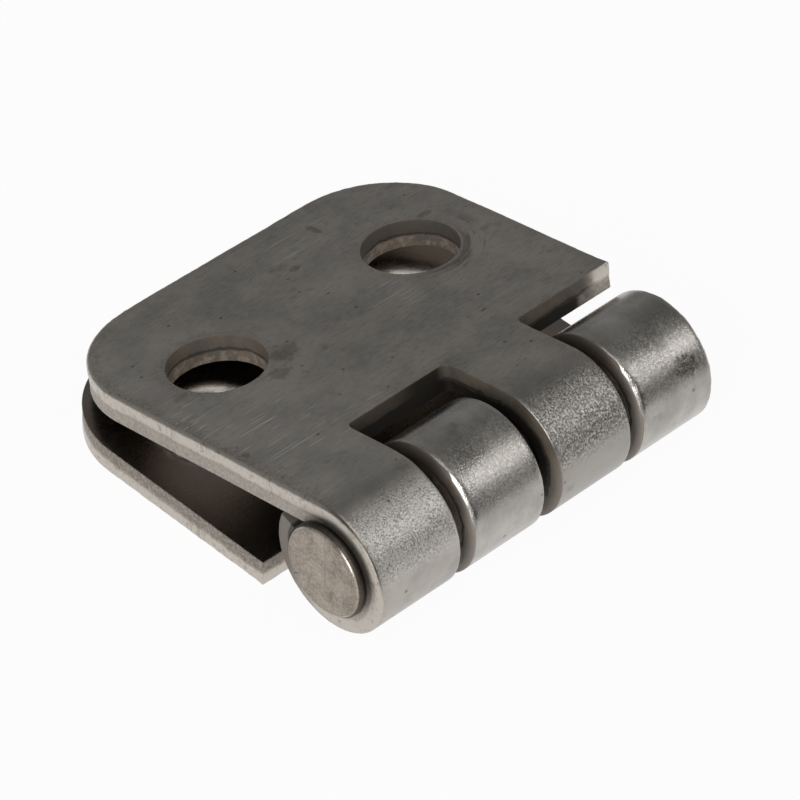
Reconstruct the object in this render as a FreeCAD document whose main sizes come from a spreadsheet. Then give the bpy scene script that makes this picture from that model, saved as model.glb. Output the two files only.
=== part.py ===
import FreeCAD, Part
import math
import os

import Sketcher

# A small steel butt hinge, folded shut: two identical sheet leaves, one turned over, and a riveted pin.
# X runs along the pin, +Y from the knuckles to the outer edge of the leaves, Z is up.
# The origin is the middle of the lower leaf's two screw holes, on the face that is screwed down.

SIZES = [
    ("sheet_thickness", 2.0, "thickness of the sheet that both leaves are stamped from"),
    ("leaf_length", 30.0, "length of a leaf along the pin"),
    ("leaf_width", 26.0, "pin axis to the outer edge of a leaf"),
    ("corner_radius", 7.0, "rounding of the two outer corners of a leaf"),
    ("pin_diameter", 5.0, "diameter of the pin's shank"),
    ("running_clearance", 0.05, "radial gap between the shank and a rolled knuckle"),
    ("curl_gap", 0.25, "gap between the free end of a curl and the inner face of its leaf"),
    ("inner_knuckle", 6.25, "length of the knuckle inside a leaf"),
    ("middle_gap", 0.7, "gap between the two inner knuckles when the leaves are level"),
    ("side_gap", 1.55, "gap from an end knuckle to the inner one beside it when the leaves are level"),
    ("notch_clearance", 0.45, "gap from the edge of a notch to the knuckle that turns in it"),
    ("notch_corner", 0.4, "rounding in the inner corners of the notches"),
    ("hole_diameter", 6.5, "diameter of a screw hole"),
    ("hole_spacing", 17.0, "distance between the two screw holes of a leaf"),
    ("hole_setback", 16.5, "pin axis to the line of the screw holes"),
    ("edge_radius", 0.35, "rounding that the shearing leaves round the outer face"),
    ("end_play", 0.8, "how far the upper leaf sits along the pin from the lower one"),
    ("closed_angle", 10.0, "how far past parallel the upper leaf is folded down, in degrees"),
    ("head_diameter", 6.5, "diameter of the riveted heads of the pin"),
    ("head_height", 0.6, "how far a head stands out from the end of the knuckles"),
    ("head_rim", 0.35, "rounding round the rim of a head"),
    ("head_clearance", 0.05, "gap between the near head and the upper leaf"),
]
DERIVED = [
    ("bore_radius", "=pin_diameter / 2 + running_clearance", "inside radius of a curl"),
    ("knuckle_radius", "=bore_radius + sheet_thickness", "outside radius of a curl"),
    ("notch_edge", "=knuckle_radius + notch_clearance", "pin axis to the straight edge of a notch"),
    ("inner_start", "=middle_gap / 2", "where the inner knuckle starts, from the leaf's middle"),
    ("inner_stop", "=inner_start + inner_knuckle", "where the inner knuckle stops"),
    ("end_stop", "=-(inner_stop + side_gap)", "where the end knuckle stops"),
    ("grip_length", "=leaf_length - end_play + head_clearance", "length of the shank between the heads"),
]

doc = FreeCAD.newDocument("butt_hinge")
sheet = doc.addObject("Spreadsheet::Sheet", "dims")
for row, (alias, value, note) in enumerate(SIZES + DERIVED, start=1):
    sheet.set(f"A{row}", alias)
    sheet.set(f"B{row}", str(value))
    sheet.set(f"C{row}", note)
    sheet.setAlias(f"B{row}", alias)
doc.recompute()

EPS = 1e-6
ROOT_POINT = (-1, 1)


def size(alias):
    """The present value of one cell of the sheet."""
    return float(sheet.get(alias))


def start(edge):
    """The start point of a sketched line or arc, as constraints name it."""
    return (edge, 1)


def end(edge):
    """The end point of a sketched line or arc."""
    return (edge, 2)


def centre(edge):
    """The centre point of a sketched arc or circle."""
    return (edge, 3)


def plane_of(body, role):
    """One of the body's own origin planes."""
    return next(f for f in body.Origin.OriginFeatures if f.Role == role)


def new_sketch(body, name, role):
    """An empty sketch on one of the body's origin planes."""
    sketch = body.newObject("Sketcher::SketchObject", name)
    sketch.AttachmentSupport = (plane_of(body, role), [""])
    sketch.MapMode = "FlatFace"
    return sketch


def fix(sketch, kind, *where, name=None, to=None):
    """Adds one constraint, bound to an expression on the sheet when one is given."""
    if to is None:
        sketch.addConstraint(Sketcher.Constraint(kind, *where))
        return
    value = float(sketch.evalExpression(to))
    index = sketch.addConstraint(Sketcher.Constraint(kind, *where, value))
    sketch.renameConstraint(index, name)
    sketch.setExpression(f"Constraints.{name}", to)


def line(sketch, a, b):
    """Adds a straight line between two points of the sketch's plane."""
    return sketch.addGeometry(Part.LineSegment(FreeCAD.Vector(*a, 0), FreeCAD.Vector(*b, 0)), False)


def arc(sketch, radius, start, end, centre=(0.0, 0.0)):
    """Adds an arc, from the start angle to the end angle in degrees, anticlockwise."""
    circle = Part.Circle(FreeCAD.Vector(*centre, 0), FreeCAD.Vector(0, 0, 1), radius)
    return sketch.addGeometry(Part.ArcOfCircle(circle, math.radians(start), math.radians(end)), False)


def leaf_section(body):
    """The side view of a leaf: flat sheet that turns into a curl wrapped round the pin."""
    bore, outside, width = size("bore_radius"), size("knuckle_radius"), size("leaf_width")
    stop = 360 + math.degrees(math.asin((bore - size("curl_gap")) / outside))
    tip = math.radians(stop)
    inner_tip = (bore * math.cos(tip), bore * math.sin(tip))
    outer_tip = (outside * math.cos(tip), outside * math.sin(tip))

    sketch = new_sketch(body, "section", "YZ_Plane")
    outer_face = line(sketch, (0, outside), (width, outside))
    edge = line(sketch, (width, outside), (width, bore))
    inner_face = line(sketch, (width, bore), (0, bore))
    inner_curl = arc(sketch, bore, 90, stop)
    free_end = line(sketch, inner_tip, outer_tip)
    outer_curl = arc(sketch, outside, 90, stop)

    fix(sketch, "Coincident", *end(outer_face), *start(edge))
    fix(sketch, "Coincident", *end(edge), *start(inner_face))
    fix(sketch, "Coincident", *end(inner_face), *start(inner_curl))
    fix(sketch, "Coincident", *end(inner_curl), *start(free_end))
    fix(sketch, "Coincident", *end(free_end), *end(outer_curl))
    fix(sketch, "Coincident", *start(outer_curl), *start(outer_face))
    fix(sketch, "Coincident", *centre(inner_curl), *ROOT_POINT)
    fix(sketch, "Coincident", *centre(outer_curl), *ROOT_POINT)
    fix(sketch, "Vertical", *start(outer_face), *ROOT_POINT)
    fix(sketch, "Vertical", *end(inner_face), *ROOT_POINT)
    fix(sketch, "Horizontal", outer_face)
    fix(sketch, "Horizontal", inner_face)
    fix(sketch, "Vertical", edge)
    fix(sketch, "PointOnObject", *ROOT_POINT, free_end)
    fix(sketch, "DistanceY", *end(edge), *start(edge), name="thickness", to="dims.sheet_thickness")
    fix(sketch, "DistanceX", *ROOT_POINT, *start(edge), name="width", to="dims.leaf_width")
    fix(sketch, "Radius", inner_curl, name="bore", to="dims.bore_radius")
    fix(sketch, "DistanceY", *end(free_end), *end(inner_face), name="gap", to="dims.curl_gap")
    return sketch


def rectangle(sketch, left, right, bottom, top):
    """A rectangle whose four sides are held by (name, expression, value) triples."""
    (left_name, left_to, x0), (right_name, right_to, x1) = left, right
    (bottom_name, bottom_to, y0), (top_name, top_to, y1) = bottom, top
    corners = [(x0, y0), (x1, y0), (x1, y1), (x0, y1)]
    sides = [line(sketch, corners[i], corners[(i + 1) % 4]) for i in range(4)]
    for i, side in enumerate(sides):
        fix(sketch, "Coincident", *end(side), *start(sides[(i + 1) % 4]))
        fix(sketch, "Horizontal" if i % 2 == 0 else "Vertical", side)
    fix(sketch, "DistanceX", *ROOT_POINT, *start(sides[3]), name=left_name, to=left_to)
    fix(sketch, "DistanceX", *ROOT_POINT, *start(sides[1]), name=right_name, to=right_to)
    fix(sketch, "DistanceY", *ROOT_POINT, *start(sides[0]), name=bottom_name, to=bottom_to)
    fix(sketch, "DistanceY", *ROOT_POINT, *start(sides[2]), name=top_name, to=top_to)


def notch_outlines(body):
    """Seen from above, the two gaps in the curl where the other leaf's knuckles turn."""
    front, back = -2 * size("knuckle_radius"), size("notch_edge")
    sketch = new_sketch(body, "notches", "XY_Plane")
    rectangle(
        sketch,
        ("middle_left", "dims.end_stop", size("end_stop")),
        ("middle_right", "dims.inner_start", size("inner_start")),
        ("middle_front", "-2 * dims.knuckle_radius", front),
        ("middle_back", "dims.notch_edge", back),
    )
    rectangle(
        sketch,
        ("end_left", "dims.inner_stop", size("inner_stop")),
        ("end_right", "dims.leaf_length", size("leaf_length")),
        ("end_front", "-2 * dims.knuckle_radius", front),
        ("end_back", "dims.notch_edge", back),
    )
    return sketch


def hole_outlines(body):
    """Seen from above, the two screw holes."""
    half, back, radius = size("hole_spacing") / 2, size("hole_setback"), size("hole_diameter") / 2
    sketch = new_sketch(body, "holes", "XY_Plane")
    for side, sign in (("left", -1), ("right", 1)):
        middle = FreeCAD.Vector(sign * half, back, 0)
        hole = sketch.addGeometry(Part.Circle(middle, FreeCAD.Vector(0, 0, 1), radius), False)
        across = f"{sign} * dims.hole_spacing / 2"
        fix(sketch, "DistanceX", *ROOT_POINT, *centre(hole), name=f"{side}_x", to=across)
        fix(sketch, "DistanceY", *ROOT_POINT, *centre(hole), name=f"{side}_y", to="dims.hole_setback")
        fix(sketch, "Diameter", hole, name=f"{side}_diameter", to="dims.hole_diameter")
    return sketch


def cut_through(body, name, sketch):
    """Cuts a sketch right through the leaf, above and below its plane, and proves that it cut."""
    doc.recompute()
    before = body.Shape.Volume
    pocket = body.newObject("PartDesign::Pocket", name)
    pocket.Profile = sketch
    pocket.Type = "ThroughAll"
    pocket.Midplane = True
    doc.recompute()
    if not pocket.Shape.Volume < before - EPS:
        raise RuntimeError(f"{body.Label}: {name} cut nothing")
    return pocket


def round_edges(body, name, base, edges, radius):
    """Rounds the numbered edges of the base feature by a radius from the sheet."""
    fillet = body.newObject("PartDesign::Fillet", name)
    fillet.Base = (base, [f"Edge{number}" for number in edges])
    fillet.setExpression("Radius", radius)
    doc.recompute()
    return fillet


def upright_edges(shape, places):
    """The numbers of the straight upright edges that stand at the given (x, y) places."""
    found = []
    for number, edge in enumerate(shape.Edges, start=1):
        box = edge.BoundBox
        upright = box.XLength < EPS and box.YLength < EPS
        if upright and any(abs(box.XMin - x) < EPS and abs(box.YMin - y) < EPS for x, y in places):
            found.append(number)
    return found


def outer_rim(shape):
    """The numbers of the edges where the outer face, flat or curled, meets a sheared wall."""
    outside = size("knuckle_radius")
    skin = []
    for face in shape.Faces:
        surface = face.Surface
        flat = isinstance(surface, Part.Plane) and abs(face.CenterOfMass.z - outside) < EPS
        curled = isinstance(surface, Part.Cylinder) and abs(surface.Radius - outside) < EPS
        if flat or (curled and abs(surface.Axis.x) > 0.5):
            skin.append(face)
    counts = {}
    for face in skin:
        for edge in face.Edges:
            key = edge.hashCode()
            counts[key] = counts.get(key, 0) + 1
    rim = []
    for number, edge in enumerate(shape.Edges, start=1):
        along_pin = isinstance(edge.Curve, Part.Line) and abs(edge.Curve.Direction.x) > 0.5
        free_end = along_pin and edge.CenterOfMass.y < size("notch_edge") - EPS
        if counts.get(edge.hashCode(), 0) == 1 and not free_end:
            rim.append(number)
    return rim


def make_leaf(label):
    """One leaf, with the pin's axis as its X axis and its outer face on top."""
    body = doc.addObject("PartDesign::Body", label)
    body.Label = label
    sheet_metal = body.newObject("PartDesign::Pad", "curled_sheet")
    sheet_metal.Profile = leaf_section(body)
    sheet_metal.setExpression("Length", "dims.leaf_length")
    sheet_metal.Midplane = True
    cut_through(body, "knuckle_gaps", notch_outlines(body))
    plate = cut_through(body, "screw_holes", hole_outlines(body))

    half, back, edge = size("leaf_length") / 2, size("notch_edge"), size("leaf_width")
    outer = upright_edges(plate.Shape, [(-half, edge), (half, edge)])
    rounded = round_edges(body, "outer_corners", plate, outer, "dims.corner_radius")
    stops = [size("end_stop"), size("inner_start"), size("inner_stop")]
    inner = upright_edges(rounded.Shape, [(stop, back) for stop in stops])
    notched = round_edges(body, "notch_corners", rounded, inner, "dims.notch_corner")
    rolled = round_edges(body, "rolled_edge", notched, outer_rim(notched.Shape), "dims.edge_radius")
    body.Tip = rolled
    return body


def make_pin(label):
    """The pin: a straight shank and two low heads, turned about the X axis."""
    half, shank = size("grip_length") / 2, size("pin_diameter") / 2
    head, height, rim = size("head_diameter") / 2, size("head_height"), size("head_rim")
    body = doc.addObject("PartDesign::Body", label)
    body.Label = label
    sketch = new_sketch(body, "half_profile", "XY_Plane")
    axis = line(sketch, (0, 0), (half + height, 0))
    face = line(sketch, (half + height, 0), (half + height, head - rim))
    rounding = arc(sketch, rim, 0, 90, (half + height - rim, head - rim))
    side = line(sketch, (half + height - rim, head), (half, head))
    seat = line(sketch, (half, head), (half, shank))
    barrel = line(sketch, (half, shank), (0, shank))
    middle = line(sketch, (0, shank), (0, 0))
    chain = [axis, face, rounding, side, seat, barrel, middle]
    for first, second in zip(chain, chain[1:] + chain[:1]):
        joint = "Tangent" if rounding in (first, second) else "Coincident"
        fix(sketch, joint, *end(first), *start(second))
    fix(sketch, "Coincident", *start(axis), *ROOT_POINT)
    fix(sketch, "Horizontal", axis)
    fix(sketch, "Vertical", face)
    fix(sketch, "Horizontal", side)
    fix(sketch, "Vertical", seat)
    fix(sketch, "Horizontal", barrel)
    fix(sketch, "Vertical", middle)
    fix(sketch, "Radius", rounding, name="rim", to="dims.head_rim")
    fix(sketch, "DistanceX", *start(seat), *start(face), name="height", to="dims.head_height")
    fix(sketch, "DistanceX", *start(middle), *start(barrel), name="grip", to="dims.grip_length / 2")
    fix(sketch, "DistanceY", *end(middle), *start(middle), name="shank", to="dims.pin_diameter / 2")
    fix(sketch, "DistanceY", *start(axis), *start(side), name="head", to="dims.head_diameter / 2")
    half_pin = body.newObject("PartDesign::Revolution", "half_pin")
    half_pin.Profile = sketch
    half_pin.ReferenceAxis = (sketch, ["H_Axis"])
    half_pin.Angle = 360
    doc.recompute()
    whole = body.newObject("PartDesign::Mirrored", "both_ends")
    whole.Originals = [half_pin]
    whole.MirrorPlane = (plane_of(body, "YZ_Plane"), [""])
    body.Tip = whole
    return body


def place(body, across, rotation, angle):
    """Stands a body on the pin's axis, which lies a knuckle radius above the lower leaf's outer face."""
    body.Placement = FreeCAD.Placement(FreeCAD.Vector(), rotation)
    body.setExpression("Placement.Base.x", across)
    body.setExpression("Placement.Base.y", "-dims.hole_setback")
    body.setExpression("Placement.Base.z", "dims.knuckle_radius")
    if angle:
        body.setExpression("Placement.Rotation.Angle", angle)


lower_leaf = make_leaf("lower_leaf")
upper_leaf = make_leaf("upper_leaf")
hinge_pin = make_pin("hinge_pin")

turned_over = FreeCAD.Rotation(FreeCAD.Vector(0, 1, 0), 180)
folded_down = FreeCAD.Rotation(FreeCAD.Vector(-1, 0, 0), size("closed_angle"))
place(lower_leaf, "0", turned_over, None)
place(upper_leaf, "dims.end_play", folded_down, "dims.closed_angle")
place(hinge_pin, "(dims.end_play - dims.head_clearance) / 2", FreeCAD.Rotation(), None)
doc.recompute()

for item in doc.Objects:
    if "Invalid" in item.State or "Error" in item.State:
        raise RuntimeError(f"{item.Label} failed: {item.State}")

os.makedirs("parts", exist_ok=True)
for part in (lower_leaf, upper_leaf, hinge_pin):
    shape = part.Shape
    if shape.isNull() or not shape.isValid() or len(shape.Solids) != 1:
        raise RuntimeError(f"{part.Label} is not one valid solid")
    shape.exportStep(f"parts/{part.Label}.step")
    box = shape.BoundBox
    print(
        f"{part.Label}: {shape.Volume:.2f} mm3, x {box.XMin:.3f} to {box.XMax:.3f},"
        f" y {box.YMin:.3f} to {box.YMax:.3f}, z {box.ZMin:.3f} to {box.ZMax:.3f}"
    )
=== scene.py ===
import math

import bpy
import numpy as np
from mathutils import Matrix, Vector, kdtree, noise
from mathutils.geometry import delaunay_2d_cdt


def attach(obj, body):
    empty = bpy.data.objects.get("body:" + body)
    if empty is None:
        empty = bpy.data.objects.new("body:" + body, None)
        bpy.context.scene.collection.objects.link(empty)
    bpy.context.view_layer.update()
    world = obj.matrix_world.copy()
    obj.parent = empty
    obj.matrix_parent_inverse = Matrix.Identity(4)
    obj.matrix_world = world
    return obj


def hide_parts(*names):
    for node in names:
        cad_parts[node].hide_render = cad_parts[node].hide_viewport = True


bl_info = {
    "name": "Rolled Butt Hinge",
    "version": (1, 0, 0),
    "blender": (4, 5, 0),
    "location": "View3D > Sidebar > Hinge",
    "description": "Dresses a small folded butt hinge: two stamped and rolled steel leaves on a riveted pin",
    "category": "Object",
}

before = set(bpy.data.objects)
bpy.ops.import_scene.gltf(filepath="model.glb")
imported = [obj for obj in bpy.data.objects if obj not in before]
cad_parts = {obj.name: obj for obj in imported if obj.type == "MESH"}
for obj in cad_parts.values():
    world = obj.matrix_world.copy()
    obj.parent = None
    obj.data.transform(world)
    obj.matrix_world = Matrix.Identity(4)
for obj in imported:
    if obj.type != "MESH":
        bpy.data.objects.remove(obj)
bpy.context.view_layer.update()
MM = 0.001

# Spacing of the mesh: along the sheared sides and round the curls, and over the flat faces.
CURL_PITCH = 0.19 * MM
FLAT_PITCH = 0.42 * MM
# What the camera and the lamps face.
VIEW_MIDDLE = Vector((0.00078, -0.00729, 0.00309))


def length(name, default_mm, description):
    """A size that a user may change, given here in millimetres."""
    return bpy.props.FloatProperty(
        name=name, description=description, default=default_mm * MM, unit="LENGTH", precision=5
    )


def angle(name, default_deg, description):
    """An angle that a user may change, given here in degrees."""
    return bpy.props.FloatProperty(
        name=name, description=description, default=math.radians(default_deg), unit="ROTATION"
    )


def colour(name, default, description):
    """A colour that a user may change."""
    return bpy.props.FloatVectorProperty(
        name=name, description=description, default=default, size=3, subtype="COLOR", min=0.0, max=1.0
    )


def amount(name, default, description):
    """A plain number that a user may change."""
    return bpy.props.FloatProperty(name=name, description=description, default=default)


class HingeSizes(bpy.types.PropertyGroup):
    """Sizes of the leaves and the pin."""

    sheet: length("Sheet", 2.0, "Thickness of the sheet that the leaves are stamped from")
    leaf_length: length("Leaf length", 30.0, "Length of a leaf along the pin")
    leaf_width: length("Leaf width", 26.0, "Pin axis to the outer edge of a leaf")
    corner_radius: length("Corner radius", 7.0, "Rounding of the outer corners")
    bore_radius: length("Bore radius", 2.55, "Inside radius of a curl")
    curl_gap: length("Curl gap", 0.25, "Free end of a curl to the inner face of its leaf")
    inner_knuckle: length("Inner knuckle", 6.25, "Length of the knuckle inside a leaf")
    middle_gap: length("Middle gap", 0.7, "Gap between the inner knuckles of level leaves")
    side_gap: length("Side gap", 1.55, "Gap from an end knuckle to the inner one of level leaves")
    notch_edge: length("Notch edge", 5.0, "Pin axis to the straight edge of a notch")
    notch_corner: length("Notch corner", 0.4, "Rounding in the corners of the notches")
    hole_radius: length("Hole radius", 3.25, "Radius of a screw hole")
    hole_spacing: length("Hole spacing", 17.0, "Distance between the screw holes of a leaf")
    hole_setback: length("Hole setback", 16.5, "Pin axis to the line of the screw holes")
    end_play: length("End play", 0.8, "How far the upper leaf sits along the pin")
    closed_angle: angle("Closed angle", 10.0, "How far past parallel the upper leaf is folded")
    shank_radius: length("Shank radius", 2.5, "Radius of the pin's shank")
    head_radius: length("Head radius", 3.25, "Radius of the riveted heads")
    head_height: length("Head height", 0.6, "How far a head stands out")
    head_rim: length("Head rim", 0.28, "Rounding round the rim of a head")
    head_clearance: length("Head clearance", 0.05, "Gap between the near head and the upper leaf")


class SteelLook(bpy.types.PropertyGroup):
    """Colours and roughness of the bare steel."""

    skin_light: colour("Skin, light", (0.46, 0.43, 0.39), "Skin of the swinging leaf where it is clean")
    skin_dark: colour("Skin, dark", (0.32, 0.305, 0.28), "Skin of the swinging leaf where it is dull")
    fixed_light: colour("Fixed skin, light", (0.51, 0.485, 0.45), "Skin of the fixed leaf where it is clean")
    fixed_dark: colour("Fixed skin, dark", (0.34, 0.325, 0.30), "Skin of the fixed leaf where it is dull")
    inner_skin: colour("Inner skin", (0.24, 0.205, 0.175), "Darker skin of the faces that are folded together")
    # Scratch is also the paint of the painted highlights and painted sparkle on the knuckles, their rims and the
    # pin's heads.
    scratch: colour("Scratch", (0.80, 0.77, 0.72), "Fresh scratches along the pin")
    # Grime is also the paint of painted shade: the shadow of the pin's head, the dark rim seam and the pin's dark
    # sides.
    grime_and_shade: colour("Grime", (0.055, 0.048, 0.04), "Smudges and pits")
    soil: colour("Soil", (0.135, 0.118, 0.096), "Dirt in the holes and between the knuckles")
    # Soot is also painted shade: the black in the notches, between the knuckles and on the walls above their
    # highlight band.
    soot_and_shade: colour("Soot", (0.022, 0.018, 0.014), "Black dirt in the notches and between the knuckles")
    rust: colour("Brown stain", (0.24, 0.185, 0.14), "Brown stain along sheared edges and in the holes")
    shear_light: colour("Sheared edge, light", (0.52, 0.48, 0.43), "Smooth band of a sheared edge")
    shear_dark: colour("Sheared edge, dark", (0.25, 0.22, 0.19), "Torn band of a sheared edge")
    pin_light: colour("Pin, light", (0.46, 0.40, 0.34), "Hammered head where it is rubbed")
    pin_dark: colour("Pin, dark", (0.20, 0.165, 0.135), "Hammered head where it is dull")
    skin_roughness: amount("Skin roughness", 0.36, "Roughness of the swinging leaf's flat skin")
    bend_roughness: amount("Bend roughness", 0.34, "Roughness of the swinging leaf's grainy bends")
    fixed_roughness: amount("Fixed roughness", 0.27, "Roughness of the fixed leaf's smoother skin")
    smooth_edge: amount("Smooth edge roughness", 0.34, "Roughness of the smooth band of a sheared edge")
    torn_edge: amount("Torn edge roughness", 0.60, "Roughness of the torn band of a sheared edge")


class StudioLook(bpy.types.PropertyGroup):
    """Camera and lights."""

    view_azimuth: angle("View azimuth", -45.641, "Turn of the camera about the vertical")
    view_elevation: angle("View elevation", 41.197, "Height of the camera above level")
    view_roll: angle("View roll", 1.831, "Turn of the camera about its own axis")
    view_distance: length("View distance", 280.0, "Camera to the middle of the view")
    lens: amount("Lens", 199.714, "Focal length in millimetres on a 36 mm wide sensor")
    floor: colour("Floor", (0.93, 0.93, 0.93), "Pale floor")
    floor_white: amount("Floor white", 0.95, "How far the floor shows as plain white rather than shaded")
    horizon: colour("Horizon", (0.14, 0.14, 0.14), "Room at the far edge of the floor")
    walls: colour("Walls", (0.31, 0.31, 0.31), "Room at half height")
    ceiling: colour("Ceiling", (0.15, 0.15, 0.15), "Room overhead")


# Each side of a blank in order from its end knuckle's free end: how far it is rolled over on the flat and round
# the curl, how much more it is worn off at the front of the curl and how far it is ironed back round the curl, in
# millimetres, and how dirty it is: brown at 1, black at 2, where the black is soot together with painted shade.
UPPER_SIDES = (
    (0.10, 0.10, 0.00, 0.00, 0.6),
    (0.10, 0.12, 0.00, 0.20, 0.6),
    (0.05, 0.05, 0.00, 0.00, 2.0),
    (0.07, 0.08, 0.00, 0.00, 1.4),
    (0.10, 0.10, 0.00, 0.00, 0.6),
    (0.20, 0.15, 0.00, 0.00, 0.6),
    (0.06, 0.06, 0.00, 0.00, 1.6),
    (0.25, 0.25, 0.00, 0.00, 0.1),
    (0.25, 0.25, 0.00, 0.00, 0.1),
    (0.33, 0.12, 0.00, 0.00, 0.0),
)
LOWER_SIDES = (
    (0.10, 0.10, 0.00, 0.00, 0.6),
    (0.30, 0.10, 0.32, 0.25, 0.9),
    (0.10, 0.10, 0.00, 0.00, 0.6),
    (0.10, 0.10, 0.00, 0.00, 0.9),
    (0.10, 0.10, 0.00, 0.00, 0.6),
    (0.30, 0.10, 0.36, 0.20, 0.9),
    (0.25, 0.25, 0.00, 0.00, 0.2),
    (0.30, 0.30, 0.00, 0.00, 0.1),
    (0.25, 0.25, 0.00, 0.00, 0.1),
    (0.35, 0.35, 0.00, 0.00, 0.0),
)
# Both screw holes, the one at -x first: how far each is rolled over, how far that reaches for its depth, its dirt.
UPPER_HOLES = ((0.05, 1.0, 0.9), (0.05, 1.0, 0.9))
LOWER_HOLES = ((0.80, 2.2, 0.0), (0.55, 2.0, 0.0))
# Dark marks on the outer faces: place along the pin, place along the sheet, size, and stretch along the sheet.
UPPER_MARKS = (
    (-14.2, 7.6, 0.20, 1.3),
    (-5.0, 14.0, 0.9, 0.9),
    (-6.8, 12.5, 0.7, 0.8),
    (11.9, 18.6, 0.5, 0.45),
    (2.1, 20.6, 0.4, 0.8),
    (6.1, 23.2, 0.2, 3.6),
)
LOWER_MARKS = ((-13.1, -7.7, 0.95, 0.55), (6.3, -7.3, 0.35, 1.4), (-8.7, -7.4, 0.40, 1.3))
# Where along the sheet the front of a curl is, which wears most, in millimetres.
WORN_AT = -8.0
# Soft boxes that face the hinge: azimuth, elevation, distance, width, height and brightness, where 1 is white.
LAMPS = (
    ("front_box", -45.0, 38.0, 0.60, 0.28, 0.30, 1.45),
    ("left_box", -157.0, 24.0, 0.70, 0.28, 0.66, 3.6),
    ("camera_box", -130.0, 68.0, 0.70, 0.50, 0.50, 0.6),
    ("top_box", 0.0, 88.0, 0.80, 0.50, 0.50, 0.6),
)


class Value:
    """One output of a node tree, so that shader maths is written as Python."""

    def __init__(self, graph, socket):
        self.graph = graph
        self.socket = socket

    def __add__(self, other):
        return self.graph.maths("ADD", self, other)

    def __sub__(self, other):
        return self.graph.maths("SUBTRACT", self, other)

    def __rsub__(self, other):
        return self.graph.maths("SUBTRACT", other, self)

    def __mul__(self, other):
        return self.graph.maths("MULTIPLY", self, other)

    def __pow__(self, other):
        return self.graph.maths("POWER", self, other)

    __radd__ = __add__
    __rmul__ = __mul__


class Graph:
    """The node tree of a material or of the world."""

    def __init__(self, owner):
        owner.use_nodes = True
        self.tree = owner.node_tree
        self.tree.nodes.clear()

    def node(self, kind, settings=None, sockets=None):
        """Adds any node: its settings first, then the values or links of its sockets."""
        made = self.tree.nodes.new(kind)
        for key, value in (settings or {}).items():
            setattr(made, key, value)
        for key, value in (sockets or {}).items():
            if isinstance(value, Value):
                self.tree.links.new(value.socket, made.inputs[key])
            else:
                made.inputs[key].default_value = value
        return made

    def out(self, made, key=0):
        """One output of a node as a value."""
        return Value(self, made.outputs[key])

    def maths(self, operation, a, b=0.0, clamp=False):
        """A Math node on one or two values."""
        settings = {"operation": operation, "use_clamp": clamp}
        return self.out(self.node("ShaderNodeMath", settings, {0: a, 1: b}))

    def vector(self, operation, a, b):
        """A Vector Math node on two vectors."""
        settings = {"operation": operation}
        return self.out(self.node("ShaderNodeVectorMath", settings, {0: a, 1: b}))

    def mix(self, factor, a, b):
        """Mixes two colours."""
        settings = {"data_type": "RGBA", "clamp_factor": True}
        sides = {0: factor}
        for key, side in ((6, a), (7, b)):
            sides[key] = side if isinstance(side, Value) else (*side[:3], 1.0)
        return self.out(self.node("ShaderNodeMix", settings, sides), 2)

    def lay(self, base, *coats):
        """Lays coats of (share, colour) over a base colour, in order."""
        for share, coat in coats:
            base = self.mix(share, base, coat)
        return base

    def lerp(self, factor, a, b):
        """Goes from number a to number b."""
        return a + (b - a) * factor

    def step(self, value, low, high):
        """Rises smoothly from 0 at low to 1 at high, which may be the lower number."""
        settings = {"interpolation_type": "SMOOTHSTEP"}
        sockets = {"Value": value, "From Min": low, "From Max": high}
        return self.out(self.node("ShaderNodeMapRange", settings, sockets))

    def band(self, value, middle, outer, inner):
        """Rises smoothly from 0 where value is outer away from middle to 1 where it is inner away."""
        return self.step(self.maths("ABSOLUTE", value - middle), outer, inner)

    def attribute(self, name, output):
        """What the mesh gives for each of its points under a name."""
        return self.out(self.node("ShaderNodeAttribute", {"attribute_name": name}), output)

    def noise(self, place, scale=(1, 1, 1), detail=3.0, roughness=0.5, seed=0.0):
        """Soft noise from 0 to 1; scale is its waves per millimetre along each part of place."""
        moved = self.vector("MULTIPLY", place, scale)
        moved = self.vector("ADD", moved, (seed, seed * 1.7, seed * 0.3))
        sockets = {"Vector": moved, "Scale": 1.0, "Detail": detail, "Roughness": roughness}
        return self.out(self.node("ShaderNodeTexNoise", None, sockets), "Fac")

    def cells(self, place, scale):
        """Distance to the nearest of many scattered points."""
        sockets = {"Vector": self.vector("MULTIPLY", place, scale), "Scale": 1.0}
        return self.out(self.node("ShaderNodeTexVoronoi", None, sockets), "Distance")

    def parts(self, vector):
        """The three numbers of a vector."""
        made = self.node("ShaderNodeSeparateXYZ", None, {0: vector})
        return [self.out(made, i) for i in range(3)]

    def joined(self, x, y, z):
        """A vector of three numbers."""
        return self.out(self.node("ShaderNodeCombineXYZ", None, {0: x, 1: y, 2: z}))

    def finish(self, base, roughness, height, metallic=1.0):
        """A bare metal with its colour, roughness and height, in millimetres, from the values given."""
        bump = self.node("ShaderNodeBump", None, {"Strength": 1.0, "Distance": MM, "Height": height})
        sockets = {
            "Base Color": base,
            "Roughness": roughness,
            "Metallic": metallic,
            "Normal": self.out(bump),
        }
        shader = self.node("ShaderNodeBsdfPrincipled", None, sockets)
        self.node("ShaderNodeOutputMaterial", None, {"Surface": self.out(shader)})


def curl_angle(s):
    """How far a curl turns, from the flat sheet to its free end."""
    outside = s.bore_radius + s.sheet
    return 1.5 * math.pi + math.asin((s.bore_radius - s.curl_gap) / outside)


def middle_radius(s):
    """The curl's radius at the middle of the sheet, whose length rolling doesn't change."""
    return s.bore_radius + s.sheet / 2


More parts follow.
